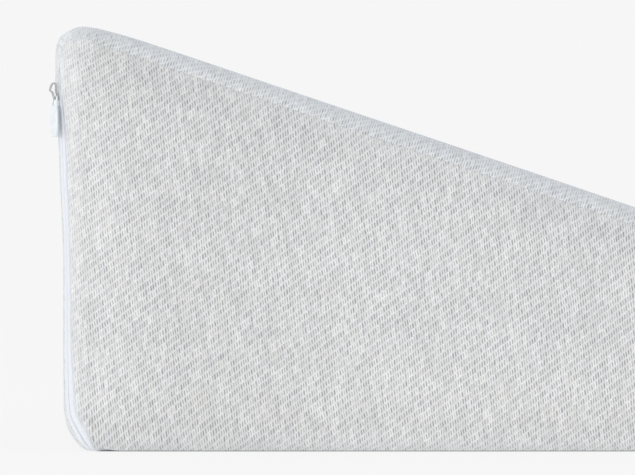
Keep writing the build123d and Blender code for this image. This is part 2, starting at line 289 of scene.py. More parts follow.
def side_bulge(F, inside):
    """How far the side stands proud of its plane, from the fabric point and the
    distance inside the flat's rim."""
    x, z = F[..., 0], F[..., 1]
    room = np.clip((Z0 - TAN * x) / 190.0, 0.06, 1.0)
    def f(d, span):
        u = np.clip(d / span, 0, 1)
        return 1 - (1 - u) ** 2

    under = (Z0 - TAN * x - z) * COS - 9.5
    b = 8.5 * f(under, 84.0) * f(z - 6.0, 40.0) * f(x - 12.0, 26.0) * f(541.0 - x, 60.0)
    b = b * smooth(inside / 9.0)
    b = b + waves(x, z, 3, 95.0, 0.34) * smooth(inside / 18.0) * room
    b = b + waves(x, z, 5, 34.0, 0.10) * smooth(inside / 8.0) * room
    for a, c, w, h in CREASES:
        d, t = seg_dist(x, z, a, c)
        b = b + h * np.exp(-(d / w) ** 2) * smooth(inside / 4.0) * np.clip(4 * t * (1 - t) + 0.25, 0, 1)
    return b


# how far the stuffed cover stands outside the plain outline, mm
swell = table([
    (slope(541), 0.1), (slope(400), 0.3), (slope(300), 0.0), (slope(254), -0.30), (slope(238), -0.22), (slope(218), 0.0),
    (slope(196), -0.12), (slope(174), -0.1), (slope(151), -0.22), (slope(129), -0.38), (slope(106), -0.48),
    (slope(84), -0.48), (slope(61), -0.48), (slope(39), -0.78), (slope(26), -1.08), (slope(17), -1.48),
    (top(0.10), -1.47), (top(0.26), -0.8), (top(0.40), -0.1), (top(0.53), 0.35), (top(0.72), 1.2), (top(0.85), 0.7),
    (top(0.96), 0.35), (rear(170), 0.35), (rear(158), 0.2), (rear(145), 0.0), (foot(4), 0.0), (foot(15), 0.1),
    (foot(30), 0.75), (foot(45), 1.45), (foot(58), 2.15), (foot(68), 2.0), (foot(76), 1.2), (foot(84), 0.4),
    (base(23), 0.0), (base(540), 0.0)])
full = table([(slope(541), 0.3), (slope(40), 0.3), (slope(6), 0.8), (top(0.15), 1.0), (rear(90), 1.0),
              (foot(80), 1.0), (base(40), 0.3), (base(540), 0.3)])


def skin(s, c, d=0.0, far=False):
    """Points of the cover. c is 0 at the flat's rim, negative inside it, positive
    over the roll and across the width. d is height off the skin."""
    s, c, d = np.broadcast_arrays(np.asarray(s, float), np.asarray(c, float), np.asarray(d, float))
    p, n = at(s)
    R = roll(s)
    K = p - R[..., None] * n
    al = np.clip(c / R, 0, math.pi / 2)
    over = np.maximum(c - R * math.pi / 2, 0)
    inside = np.minimum(c, 0)
    r = R + d
    sa, ca = np.sin(al), np.cos(al)
    xz = K + (r * sa + np.where(c < 0, inside, 0.0))[..., None] * n
    y = -(HALF - R) - r * ca + over
    # crown of the wide faces, and gentle unevenness
    u = np.mod(s, TOTAL)
    span = np.clip(over / 60.0, 0, 1)
    fl = full(s)
    bow = swell(s) * sa * (fl + (1 - fl) * smooth(span))
    bow = bow + waves(u, c, 11, 130.0, 0.26) * smooth(over / 30.0) * np.where(n[..., 1] < -0.7, 0.0, 1.0)
    bow = bow + waves(u, c, 12, 46.0, 0.12) * smooth(over / 12.0) * np.where(n[..., 1] < -0.7, 0.0, 1.0)
    # the rear face is a little slack between its ends
    lean = np.where((n[..., 0] < -0.9), 1.0, 0.0)
    z = p[..., 1]
    slack = -1.1 * np.exp(-((z - 88.0) / 34.0) ** 2) + 0.5 * np.exp(-((z - 160.0) / 14.0) ** 2)
    near = np.where(over > 0, smooth(1 - over / 40.0) * 0.6 + 0.4, 1.0)
    push = (bow * 1.0)[..., None] * n + (lean * slack * sa * near)[..., None] * n
    xz = xz + push
    out = np.stack([xz[..., 0], y, xz[..., 1]], -1)
    out[..., 2] = np.maximum(out[..., 2], 0.04 + 0.0 * out[..., 2])
    if far:
        out[..., 1] *= -1
    return out


def to_frame(v):
    v = np.array(v, float)
    v[..., 0] += SHIFT
    return v / 1000.0


def cloth_uv_side(F, far=False):
    x, z = F[..., 0], F[..., 1]
    a = 0.893 * x + 0.0915 * z
    # the cloth is drawn steeper at the bottom rear corner and flatter at the top one
    u = np.clip(z / 32.0, 0, 1)
    v = np.clip((z - 148.0) / 40.0, 0, 1)
    b = 1.268 * (z + 0.27 * 16.0 * (1 - smooth((x - 30.0) / 60.0)) * (1 - u) ** 2
                 + 0.34 * 20.0 * (1 - smooth((x - 22.0) / 50.0)) * v ** 2)
    if far:
        a = -a
    return a, b


def mesh_piece(name, verts, faces, attr=None, smooth_faces=True, body="cushion", painted_shading=None):
    me = bpy.data.meshes.new(name)
    me.from_pydata([tuple(v) for v in verts], [], [tuple(int(i) for i in f) for f in faces])
    me.update()
    if attr is not None:
        a = me.attributes.new("weave", "FLOAT_VECTOR", "POINT")
        a.data.foreach_set("vector", np.asarray(attr, np.float32).ravel())
    # painted light and shade: a colour multiplier per point
    if painted_shading is not None:
        a = me.attributes.new("painted_shading", "FLOAT_VECTOR", "POINT")
        a.data.foreach_set("vector", np.asarray(painted_shading, np.float32).ravel())
    ob = bpy.data.objects.new(name, me)
    bpy.context.scene.collection.objects.link(ob)
    if smooth_faces:
        me.polygons.foreach_set("use_smooth", [True] * len(me.polygons))
    me.update()
    if body:
        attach(ob, body)
    return ob


def grid_faces(rows, cols, close_rows=False, flip=False):
    f = []
    R = rows if close_rows else rows - 1
    for i in range(R):
        j = (i + 1) % rows
        for k in range(cols - 1):
            q = (i * cols + k, j * cols + k, j * cols + k + 1, i * cols + k + 1)
            f.append(q[::-1] if flip else q)
    return f


HEM = [(0.30, -0.12), (0.48, -0.45), (0.40, -1.0), (0.10, -1.9)]   # turned edge: along, down


SOFT_HEM = [(0.35, -0.45), (0.65, -0.75), (0.75, -1.2), (0.55, -1.9)]   # the fuller edge by the zipper


def edge_soft(F):
    """The weave is fuzzier where the cloth is drawn round the rear and the base."""
    x, z = F[..., 0], F[..., 1]
    back = smooth((17.0 - x) / 17.0) * 0.58
    low = smooth((9.0 - z) / 12.0) * 0.40
    under = (Z0 - TAN * x - z) * COS
    high = smooth((17.0 - under) / 12.0) * 0.34
    return 1.0 - np.maximum(np.maximum(back, low), high)


def side_painted_shading(F):
    """Painted light and shade on the side's cloth, as a colour multiplier: painted shade a little deeper under the
    slope, towards the nose, along the bottom and over the rear part; painted light, paler at the rear edge; a painted
    bluish sheen at the rear edge, under the slope and along the bottom.
    """
    x, z = F[..., 0], F[..., 1]
    under = np.maximum((Z0 - TAN * x - z) * COS, 0.0)
    # painted shade under the slope (deep), towards the nose (far_end), along the bottom (low) and over the rear part
    # (rear_end); painted light at the rear edge (back)
    deep = 0.08 * np.exp(-np.maximum(under - 8.0, 0) / 15.0) * smooth((x + 4.0) / 40.0)
    back = smooth((12.0 - x) / 14.0)
    far_end = 0.01 * smooth((x - 120.0) / 160.0)
    low = 0.035 * smooth((22.0 - z) / 20.0)
    rear_end = 0.042 * (1 - smooth((x - 60.0) / 110.0)) * smooth((x - 6.0) / 12.0)
    g = 1.0 - deep - far_end - low - rear_end + 0.015 * back
    # painted bluish sheen at the rear edge, under the slope and along the bottom
    blue = 0.35 * back + 1.0 * np.exp(-np.maximum(under, 0) / 6.0) + 0.3 * smooth((12.0 - z) / 12.0)
    blue = np.clip(blue, 0, 1)
    return np.stack([g * (1 - 0.022 * blue), g, g * (1 + 0.020 * blue)], -1)


# Painted light and shade on the wrap panels' cloth: on the slope, painted shade near its edges and a painted highlight
# band starting some 10 mm in from them; on every wrap panel, a painted bluish sheen near the edges.
def wrap_painted_shading(kind, edge):
    if kind == "slope":
        near = np.exp(-(np.maximum(edge - 6.0, 0) / 40.0))
        g = 1.0 - 0.03 * near + 0.09 * smooth((edge - 8.0) / 5.0) * np.exp(-np.maximum(edge - 15.0, 0) / 8.0)
    else:
        near = np.exp(-(np.maximum(edge - 14.0, 0) / 20.0))
        g = 1.0 + 0.0 * near
    return np.stack([g * (1 - 0.022 * near), g, g * (1 + 0.020 * near)], -1)


# ------------------------------------------------------------ side panels
def side_panel(name, far=False):
    S = OS[::2]
    # finer along the corners is already in OS; rings from the flat's rim outwards
    eb = side_edge(S, far)
    n_ring = 17
    rows, T = [], []
    t = np.linspace(0, 1, n_ring)
    for k in range(n_ring):
        c = eb * t[k]
        rows.append((c, np.zeros_like(c)))
    for a, dn in HEM:
        rows.append((eb + a, np.full_like(eb, dn)))
    V, A = [], []
    p, n = at(S)
    R = roll(S)
    K = p - R[:, None] * n
    zp = zipped(S) * (0.0 if far else 1.0)
    foot_lift = np.where(ON[::2][:, 1] < -0.5, 1.0, 0.0) * smooth((p[:, 0] - 12.0) / 4.0) \
        * (1 - smooth((p[:, 0] - 17.0) / 8.5)) * (0.0 if far else 1.0)
    for k, (c, dn) in enumerate(rows):
        if not far:
            if k < n_ring:
                dn = dn + zp * (0.62 * smooth((c - (eb - 6.5)) / 4.0) - 0.85 * smooth((c - (eb - 1.9)) / 1.9)) \
                    * (1 if k else 0)
            else:
                a_, d_ = SOFT_HEM[k - n_ring]
                a0, d0 = HEM[k - n_ring]
                c = eb + a0 * (1 - zp) + a_ * zp
                dn = d0 * (1 - zp) + d_ * zp
        pos = skin(S, c, dn, far)
        pos[:, 2] += foot_lift * np.sin(np.clip(c / R, 0, math.pi / 2)) ** 2
        F = K + c[:, None] * n
        a, b = cloth_uv_side(F, far)
        turned = zp * smooth((c - (eb - 2.1)) / 1.3)
        soft = edge_soft(F) * (1 - 0.9 * turned)
        V.append(pos); A.append(np.stack([a, b, soft], -1))
        # painted shade, bluish, where the hem turns down into the groove beside the zipper
        T.append(side_painted_shading(F) * (1 - turned[:, None] * np.array([0.10, 0.075, 0.035])))
    m = len(S)
    V, A = np.array(V), np.array(A)
    # where the flat's rim is outside the panel (thin nose), c stays at or inside the rim
    faces = []
    for k in range(len(rows) - 1):
        for i in range(m):
            j = (i + 1) % m
            q = (k * m + i, k * m + j, (k + 1) * m + j, (k + 1) * m + i)
            faces.append(q if far else q[::-1])
    # interior: hex grid inside the rim
    ring = K
    pts = [tuple(q) for q in ring]
    step = 3.2
    xs = np.arange(-4, LENGTH + 4, step)
    zs = np.arange(0, 200, step * 0.866)
    G = np.array([(x + (step / 2 if j % 2 else 0), z) for j, z in enumerate(zs) for x in xs])
    dmin = np.full(len(G), 1e9)
    sgn = np.ones(len(G))
    for i0 in range(0, len(G), 2000):
        g = G[i0:i0 + 2000]
        d = np.linalg.norm(g[:, None, :] - ring[None], axis=2)
        j = d.argmin(1)
        dmin[i0:i0 + 2000] = d[np.arange(len(g)), j]
        sgn[i0:i0 + 2000] = -np.sign(((g - ring[j]) * n[j]).sum(1))
    ok = (sgn > 0) & (dmin > 1.4)
    G, dmin = G[ok], dmin[ok]
    allp = [Vector(q) for q in pts] + [Vector(q) for q in G]
    edges = [(i, (i + 1) % m) for i in range(m)]
    vo, _, fo, ov, _, _ = delaunay_2d_cdt(allp, edges, [], 1, 1e-5)
    base_n = len(rows) * m
    index = []
    V2, A2, T2 = [], [], []
    inside_of = {m + i: dmin[i] for i in range(len(G))}
    for k, (q, orig) in enumerate(zip(vo, ov)):
        o = orig[0] if orig else None
        if o is not None and o < m:
            index.append(o)          # on the rim: the first ring's vertex
            continue
        F = np.array([q[0], q[1]])
        ins = inside_of.get(o, 2.0)
        index.append(base_n + len(V2))
        y = -HALF - float(side_bulge(F, np.array(ins)))
        V2.append([F[0], y if not far else -y, F[1]])
        a, b = cloth_uv_side(F, far)
        A2.append([a, b, float(edge_soft(F))])
        T2.append(side_painted_shading(F))
    for f in fo:
        g = [index[i] for i in f]
        # normals must face outwards (-Y on the near side)
        p0, p1, p2 = (np.array(allp[0]) * 0 + np.array(vo[i])[:2] for i in f[:3])
        area = (p1[0] - p0[0]) * (p2[1] - p0[1]) - (p2[0] - p0[0]) * (p1[1] - p0[1])
        g = g if (area > 0) else g[::-1]
        faces.append(g if not far else g[::-1])
    verts = np.vstack([V.reshape(-1, 3), np.array(V2)])
    attrs = np.vstack([A.reshape(-1, 3), np.array(A2)])
    painted_shadings = np.vstack([np.array(T).reshape(-1, 3), np.array(T2)])
    return mesh_piece(name, to_frame(verts), faces, attrs, painted_shading=painted_shadings)


# ------------------------------------------------------------ wrap panels
def across_cols(s, n1=14, n2=34):
    """Distances across from the near edge to the middle, and their mirror, for each s."""
    e0 = wrap_edge(s); e1 = wrap_edge(s, True)
    R = roll(s)
    L = R * math.pi / 2 + HALF - R
    t = np.concatenate([np.linspace(0, 0.085, n1, endpoint=False),
                        0.085 + (1 - 0.085) * np.linspace(0, 1, n2) ** 1.15])
    near = e0[:, None] + t[None] * (L - e0)[:, None]
    farc = e1[:, None] + t[None] * (L - e1)[:, None]
    return near, farc


def wrap_panel(name, s0, s1, kind, ends=(True, True)):
    """A panel from s0 to s1 round the outline (s1 may be past the loop's start)."""
    s = s0
    samples = [s0]
    while s < s1 - 1e-6:
        _, n = at(s)
        curv = OT[min(np.searchsorted(OS, s % TOTAL, "right") - 1, len(OT) - 1)] >= 10
        s += 1.2 if curv else 4.5
        samples.append(min(s, s1))
    samples = np.array(samples)
    rows_s = list(samples)
    rows_d = [0.0] * len(rows_s)
    if ends[0]:
        rows_s = [s0 - a for a, _ in HEM[::-1]] + rows_s
        rows_d = [dn for _, dn in HEM[::-1]] + rows_d
    if ends[1]:
        rows_s = rows_s + [s1 + a for a, _ in HEM]
        rows_d = rows_d + [dn for _, dn in HEM]
    rows_s, rows_d = np.array(rows_s), np.array(rows_d)
    near, farc = across_cols(rows_s)
    c_near = np.concatenate([near[:, :1] - np.array([a for a, _ in HEM])[::-1][None], near], 1)
    d_near = np.concatenate([np.tile(np.array([dn for _, dn in HEM])[::-1], (len(rows_s), 1)),
                             np.zeros_like(near)], 1)
    c_far = np.concatenate([farc[:, :-1][:, ::-1], farc[:, :1] - np.array([a for a, _ in HEM])[None]], 1)
    d_far = np.concatenate([np.zeros_like(farc[:, :-1]),
                            np.tile(np.array([dn for _, dn in HEM]), (len(rows_s), 1))], 1)
    dn = np.minimum(d_near, rows_d[:, None]); df = np.minimum(d_far, rows_d[:, None])
    Pn = skin(rows_s[:, None], c_near, dn)
    Pf = skin(rows_s[:, None], c_far, df, True)
    V = np.concatenate([Pn, Pf], 1)
    rows, cols = V.shape[:2]
    R = roll(rows_s)
    L = R * math.pi / 2 + HALF - R
    cc = np.concatenate([c_near, 2 * L[:, None] - c_far], 1)      # one coordinate across
    S = np.tile(rows_s[:, None], (1, cols))
    if kind == "slope":
        a, b = -S / 1.129, cc / 0.789
        edge = np.minimum(cc, 2 * L[:, None] - cc)
        soft = 1.0 - 0.68 * np.exp(-((edge - 12.0) / 8.5) ** 2)
    else:
        a, b = cc / 1.116, -S / 0.789
        edge = np.minimum(cc, 2 * L[:, None] - cc)
        soft = 1.0 - 0.66 * (1 - smooth((edge - 16) / 16.0))
    attrs = np.stack([a, b, soft], -1).reshape(-1, 3)
    return mesh_piece(name, to_frame(V.reshape(-1, 3)), grid_faces(rows, cols, flip=True), attrs,
                      painted_shading=wrap_painted_shading(kind, edge).reshape(-1, 3))


m13 = np.nonzero(OT == 13)[0]
S_TOP = float(np.interp(-182.0, -OP[m13][OP[m13][:, 0] < 6][:, 1], OS[m13][OP[m13][:, 0] < 6]))
S_BASE = base(22.0)
G2 = 0.30

side_near = side_panel("cover_side_near")
side_far = side_panel("cover_side_far", True)
slope_cl = wrap_panel("cover_slope", S_NOSE + G2, S_TOP - G2, "slope")
rear_cl = wrap_panel("cover_rear", S_TOP - TOTAL + G2, S_BASE - G2, "rear")
base_cl = wrap_panel("cover_base", S_BASE + G2, S_NOSE - G2, "base")


# ------------------------------------------------------------ zipper
def strip(name, S, prof, sign, attr_scale=(1 / 0.9, 1 / 0.35)):
    """A lip of tape beside the parting line. prof: (fraction of width, height) rows."""
    w = (w_side(S) if sign < 0 else w_wrap(S))
    taper = smooth((S - S_ZIP0) / 3.0) * smooth((S_ZIP1 + 1.0 - S) / 6.0)
    cols_c, cols_d = [], []
    for f, h, k in prof:
        cols_c.append(part_near(S) + sign * (0.14 + f * (w - 0.14) + k))
        cols_d.append(h * (0.35 + 0.65 * taper) + 0 * S)
    C = np.stack(cols_c, 1); D = np.stack(cols_d, 1)
    V = skin(S[:, None], C, D)
    rows, cols = V.shape[:2]
    a = np.tile((S * attr_scale[0])[:, None], (1, cols))
    b = C * attr_scale[1]
    attrs = np.stack([a, b, np.ones_like(a)], -1).reshape(-1, 3)
    return mesh_piece(name, to_frame(V.reshape(-1, 3)), grid_faces(rows, cols, flip=(sign > 0)), attrs)


def dense(s0, s1, line=2.0, arc=0.8):
    s, out = s0, [s0]
    while s < s1:
        k = min(np.searchsorted(OS, s % TOTAL, "right") - 1, len(OT) - 1)
        s += arc if OT[k] >= 10 else line
        out.append(min(s, s1))
    return np.array(out)


LIP_PROF = [(0.0, -1.5, 0.02), (0.0, -0.7, 0.0), (0.02, -0.25, 0.0), (0.10, 0.02, 0), (0.24, 0.16, 0),
            (0.42, 0.20, 0), (0.62, 0.13, 0), (0.80, -0.02, 0), (0.92, -0.20, 0), (1.0, -0.42, 0.1),
            (1.0, -0.75, 0.7), (1.0, -0.9, 1.6)]
SZ = dense(S_ZIP0 - 0.5, S_ZIP1)
lip_side = strip("zipper_lip_side", SZ, LIP_PROF, -1)
lip_wrap = strip("zipper_lip_wrap", SZ, LIP_PROF, +1)


def coil(name, sign, replaces):
    """A row of coil loops on the back of a tape."""
    pitch, turn, tube = 1.25, 12, 5
    S0, S1 = S_ZIP0 + 1.0, S_ZIP1 - 1.0
    n = int((S1 - S0) / pitch)
    k = np.arange(n * turn + 1)
    ph = k / turn * 2 * math.pi
    s = S0 + (k / turn + (0.0 if sign > 0 else 0.5)) * pitch
    lat = part_near(s) + sign * (0.42 - 0.72 * np.cos(ph))
    dep = -1.95 + 0.38 * np.sin(ph)
    C = skin(s, lat, dep)
    T = np.gradient(C, axis=0); T /= np.linalg.norm(T, axis=1, keepdims=True)
    A = np.cross(T, np.array([0.3, 0.5, 0.8])); A /= np.linalg.norm(A, axis=1, keepdims=True)
    B = np.cross(T, A)
    w = np.arange(tube) / tube * 2 * math.pi
    V = C[:, None] + 0.17 * (A[:, None] * np.cos(w)[None, :, None] + B[:, None] * np.sin(w)[None, :, None])
    rows = len(C)
    f = []
    for i in range(rows - 1):
        for j in range(tube):
            f.append((i * tube + j, i * tube + (j + 1) % tube, (i + 1) * tube + (j + 1) % tube, (i + 1) * tube + j))
    f.append(tuple(range(tube))[::-1]); f.append(tuple((rows - 1) * tube + j for j in range(tube)))
    V = V.reshape(-1, 3)
    V[:, 2] = np.maximum(V[:, 2], 0.05)
    return mesh_piece(name, to_frame(V), f)


coil_side = coil("zipper_teeth_side", -1, None)
coil_wrap = coil("zipper_teeth_wrap", +1, None)


# ------------------------------------------------------------ seam threads
def thread_line(name, pts, r=0.24, pitch=1.6):
    """A two-ply thread laid along points, mm."""
    P = np.array(pts, float)
    d = np.concatenate([[0], np.cumsum(np.linalg.norm(np.diff(P, axis=0), axis=1))])
    n = int(d[-1] / 0.8)
    q = np.linspace(0, d[-1], n)
    C = np.stack([np.interp(q, d, P[:, k]) for k in range(3)], 1)
    T = np.gradient(C, axis=0); T /= np.linalg.norm(T, axis=1, keepdims=True)
    ref = np.where(np.abs(T[:, 1:2]) > 0.9, np.array([[1.0, 0, 0]]), np.array([[0, 1.0, 0]]))
    A = np.cross(T, ref); A /= np.linalg.norm(A, axis=1, keepdims=True)
    B = np.cross(T, A)
    tube = 5
    V, f = [], []
    for ply in (0, 1):
        ph = q / pitch * 2 * math.pi + ply * math.pi
        c = C + 0.5 * r * (A * np.cos(ph)[:, None] + B * np.sin(ph)[:, None])
        w = np.arange(tube) / tube * 2 * math.pi
        ring = c[:, None] + 0.62 * r * (A[:, None] * np.cos(w)[None, :, None] + B[:, None] * np.sin(w)[None, :, None])
        o = ply * n * tube
        for i in range(n - 1):
            for j in range(tube):
                f.append((o + i * tube + j, o + i * tube + (j + 1) % tube,
                          o + (i + 1) * tube + (j + 1) % tube, o + (i + 1) * tube + j))
        f.append(tuple(o + j for j in range(tube))[::-1])
        f.append(tuple(o + (n - 1) * tube + j for j in range(tube)))
        V.append(ring.reshape(-1, 3))
    V = np.vstack(V)
    V[:, 2] = np.maximum(V[:, 2], 0.05)
    return mesh_piece(name, to_frame(V), f)


s_seam = np.linspace(S_ZIP1 + 4.0, TOTAL + S_ZIP0 - 3.0, 500)
thread_near = thread_line("seam_stitch_near", skin(s_seam, part_near(s_seam), -0.85))
s_all = np.linspace(0, TOTAL, 800)
thread_far = thread_line("seam_stitch_far", skin(s_all, part_far(s_all), -0.85, True))
y_col = np.linspace(0, 1, 60)


def cross_seam(s):
    R = float(roll(s)); L = R * math.pi / 2 + HALF - R
    near = skin(s, float(wrap_edge(s)) + y_col * (L - float(wrap_edge(s))), -0.85)
    farr = skin(s, float(wrap_edge(s, True)) + y_col * (L - float(wrap_edge(s, True))), -0.85, True)
    return np.vstack([near, farr[::-1][1:]])


thread_top = thread_line("seam_stitch_top_rear", cross_seam(S_TOP))
thread_base = thread_line("seam_stitch_rear_base", cross_seam(S_BASE))


# ------------------------------------------------------------ foam
def foam():
    """The closed foam wedge just inside the cover."""
    inset = 2.8
    S = OS[::4]
    m = len(S)
    _, n = at(S)
    R = roll(S)
    cols = []
    L = HALF - R
    zip_part = smooth((S - S_ZIP0 + 12.0) / 8.0) * smooth((S_ZIP1 + 10.0 - S) / 8.0)

    def room(c):
        # a shallow groove leaves room for the zipper's slider
        return 3.6 * zip_part * np.exp(-((c - part_near(S)) / 6.5) ** 4)

    cs = [R * math.pi / 2 * t for t in np.linspace(0, 1, 14)] \
        + [R * math.pi / 2 + L * t for t in (0.012, 0.025, 0.04, 0.07, 0.12, 0.2, 0.3, 0.4, 0.5, 0.6, 0.7, 0.8, 0.9, 1.0)]
    plain = [skin(S, c, -inset) for c in cs]
    loops = [skin(S, c, -inset - room(c)) for c in cs]
    far = [q * np.array([1, -1, 1]) for q in plain[:-1]][::-1]
    loops = loops + far
    V = [q for L_ in loops for q in L_]
    V = np.array(V)
    V[:, 2] = np.maximum(V[:, 2], 2.0)
    f = []
    for k in range(len(loops) - 1):
        for i in range(m):
            j = (i + 1) % m
            f.append((k * m + i, k * m + j, (k + 1) * m + j, (k + 1) * m + i))
    f.append(tuple(range(m))[::-1])
    f.append(tuple((len(loops) - 1) * m + i for i in range(m)))
    ob = mesh_piece("foam_wedge", to_frame(V), f)
    bm = bmesh.new(); bm.from_mesh(ob.data)
    bmesh.ops.recalc_face_normals(bm, faces=bm.faces)
    big = [q for q in bm.faces if len(q.verts) > 10]
    for q in big:
        r = bmesh.ops.inset_region(bm, faces=[q], thickness=0.004, use_even_offset=False)
    bm.to_mesh(ob.data); bm.free()
    return ob


foam_ob = foam()

# ------------------------------------------------------------ bottom stop
def bottom_stop():
    """A staple across both lips at the chain's end, bent round their edges."""
    s0 = S_ZIP1 - 5.0
    rows = []
    lat = [-1.9, -1.75, -1.2, 0.0, 1.2, 1.75, 1.9]
    hgt = [-0.2, 0.25, 0.42, 0.46, 0.42, 0.25, -0.2]
    verts, faces = [], []
    for si, k in ((0.0, 0.0), (0.3, 1.0), (1.1, 1.05), (1.9, 1.0), (2.2, 0.0)):
        for l, h in zip(lat, hgt):
            verts.append(skin(s0 + si, float(part_near(s0)) + l, (h * (0.55 + 0.45 * k))))
    cols = len(lat)
    faces = grid_faces(5, cols, flip=True)
    ob = mesh_piece("zipper_stop_end", to_frame(np.array(verts)), faces)
    return ob


stop_ob = bottom_stop()


# ------------------------------------------------------------ slider, crown and pull
TURN = math.radians(30.0)
run = np.array([LEAN, 0.0, 1.0]); run /= np.linalg.norm(run)
out_ = np.array([-run[2], 0.0, run[0]])
side_ = np.array([0.0, -1.0, 0.0])
face_n = out_ * math.cos(TURN) + side_ * math.sin(TURN)
across = -out_ * math.sin(TURN) + side_ * math.cos(TURN)


def at_zip(z, s=0.0, d=0.0, h=0.0):
    """A place on the zipper's straight run: height z, across s, off the tape d."""
    p = np.array([rear_x(z), -299.0, z]) - out_ * 1.8
    p = p + run * ((z - p[2]) / run[2])
    return (p + np.multiply.outer(np.asarray(s, float), across)
            + np.multiply.outer(np.asarray(d, float), face_n)
            + np.multiply.outer(np.asarray(h, float), run))


def rounded_block(poly, d0, d1, r, z, steps=3):
    """A plate with the given outline (s, h) between d0 and d1, edges rounded by r."""
    P = np.array(poly, float)
    n = len(P)
    e = np.roll(P, -1, 0) - P
    nn = np.stack([e[:, 1], -e[:, 0]], 1); nn /= np.linalg.norm(nn, axis=1, keepdims=True)
    vn = nn + np.roll(nn, 1, 0)
    vn = vn / np.maximum((vn * nn).sum(1, keepdims=True), 0.2)
    lv = []
    for k in range(steps + 1):
        a = k / steps * math.pi / 2
        lv.append((d0 + r - r * math.cos(a), r - r * math.sin(a)))
    for k in range(steps + 1):
        a = k / steps * math.pi / 2
        lv.append((d1 - r + r * math.sin(a), r - r * math.cos(a)))
    V, f = [], []
    for d, inn in lv:
        Q = P - vn * inn
        V.append(at_zip(z, Q[:, 0], np.full(n, d), Q[:, 1]))
    for k in range(len(lv) - 1):
        for i in range(n):
            j = (i + 1) % n
            f.append((k * n + i, k * n + j, (k + 1) * n + j, (k + 1) * n + i))
    f.append(tuple(range(n))[::-1])
    f.append(tuple((len(lv) - 1) * n + i for i in range(n)))
    return np.vstack(V), f


def closed_curve(pts, n):
    """Closed Catmull-Rom through pts, n points evenly spread."""
    P = np.array(pts, float); m = len(P)
    out = []
    for i in range(m):
        a, b, c, d = P[i - 1], P[i], P[(i + 1) % m], P[(i + 2) % m]
        for t in np.linspace(0, 1, 12, endpoint=False):
            out.append(0.5 * ((2 * b) + (c - a) * t + (2 * a - 5 * b + 4 * c - d) * t**2
                              + (3 * b - a - 3 * c + d) * t**3))
    O = np.array(out + [out[0]])
    L = np.concatenate([[0], np.cumsum(np.linalg.norm(np.diff(O, axis=0), axis=1))])
    q = np.linspace(0, L[-1], n, endpoint=False)
    return np.stack([np.interp(q, L, O[:, k]) for k in range(O.shape[1])], 1)


def outline_round(pts, r, k=4):
    """Round the corners of a polygon."""
    P = np.array(pts, float); n = len(P); out = []
    for i in range(n):
        p, q, s_ = P[i - 1], P[i], P[(i + 1) % n]
        u = (p - q) / np.linalg.norm(p - q); v = (s_ - q) / np.linalg.norm(s_ - q)
        t = min(r, 0.45 * np.linalg.norm(p - q), 0.45 * np.linalg.norm(s_ - q))
        a, b = q + u * t, q + v * t
        for w in np.linspace(0, 1, k + 1):
            out.append((1 - w) ** 2 * a + 2 * w * (1 - w) * q + w * w * b)
    return np.array(out)


def merge_parts(parts):
    V, f, o = [], [], 0
    for v, q in parts:
        V.append(v); f += [tuple(i + o for i in g) for g in q]; o += len(v)
    return np.vstack(V), f


def fix_normals(ob):
    b = bmesh.new(); b.from_mesh(ob.data)
    bmesh.ops.recalc_face_normals(b, faces=b.faces)
    b.to_mesh(ob.data); b.free()


LOW_Z, TOP_Z, SL = 164.9 - 8.6, 164.9, 8.6
CROWN_Z = 164.9 + 0.2 - 7.6
wt, wl = 2.9, 2.3
plate = outline_round([(-wl, 0), (wl, 0), (wl + 0.05, 0.30 * SL), (wt, 0.60 * SL), (wt, 0.86 * SL),
                       (wt - 1.0, SL), (0.8, SL), (0, SL - 0.8), (-0.8, SL), (-wt + 1.0, SL),
                       (-wt, 0.86 * SL), (-wt, 0.60 * SL), (-wl - 0.05, 0.30 * SL)], 0.8)
lobe = outline_round([(-0.9, 1.2), (0.9, 1.2), (0.9, 7.4), (-0.9, 7.4)], 0.5)


def flange(sg):
    pts = [(sg * (wl - 0.55), 0.15), (sg * wl, 0.15), (sg * wl, 0.30 * SL), (sg * wt, 0.60 * SL),
           (sg * wt, 0.84 * SL), (sg * (wt - 0.55), 0.84 * SL), (sg * (wt - 0.55), 0.60 * SL),
           (sg * (wl - 0.5), 0.30 * SL)]
    return pts if sg > 0 else pts[::-1]


C0 = 0.92
v, f = merge_parts([
    rounded_block(plate, 0.20, 1.0, 0.26, LOW_Z),
    rounded_block(lobe, 0.75, 1.14, 0.12, LOW_Z),
    rounded_block(outline_round(flange(1), 0.2, 2), -0.30, 0.5, 0.1, LOW_Z, 2),
    rounded_block(outline_round(flange(-1), 0.2, 2), -0.30, 0.5, 0.1, LOW_Z, 2),
    rounded_block(plate * np.array([0.95, 1.0]), -C0 - 1.2 - 1.0, -C0 - 1.2 - 0.2, 0.2, LOW_Z),
    rounded_block(outline_round([(-0.16, 5.0), (0.16, 5.0), (0.16, 7.4), (-0.16, 7.4)], 0.05, 1),
                  -C0 - 1.3, 0.3, 0.02, LOW_Z, 1),
])
slider_ob = mesh_piece("slider_shell", to_frame(v), f, body="slider")
fix_normals(slider_ob)

# the crown: a bent strip, closed on itself, leaning out over the pull's eye
loop = closed_curve([(0.25, 1.52), (2.04, 1.86), (3.38, 2.22), (4.73, 2.42), (6.0, 2.30), (7.1, 2.55), (7.62, 3.25),
                     (7.0, 4.25), (5.7, 4.98), (4.5, 5.30), (3.85, 5.0), (3.55, 4.35), (2.75, 3.95), (1.7, 3.68),
                     (0.70, 3.28), (0.30, 2.55), (0.02, 1.75)], 96)


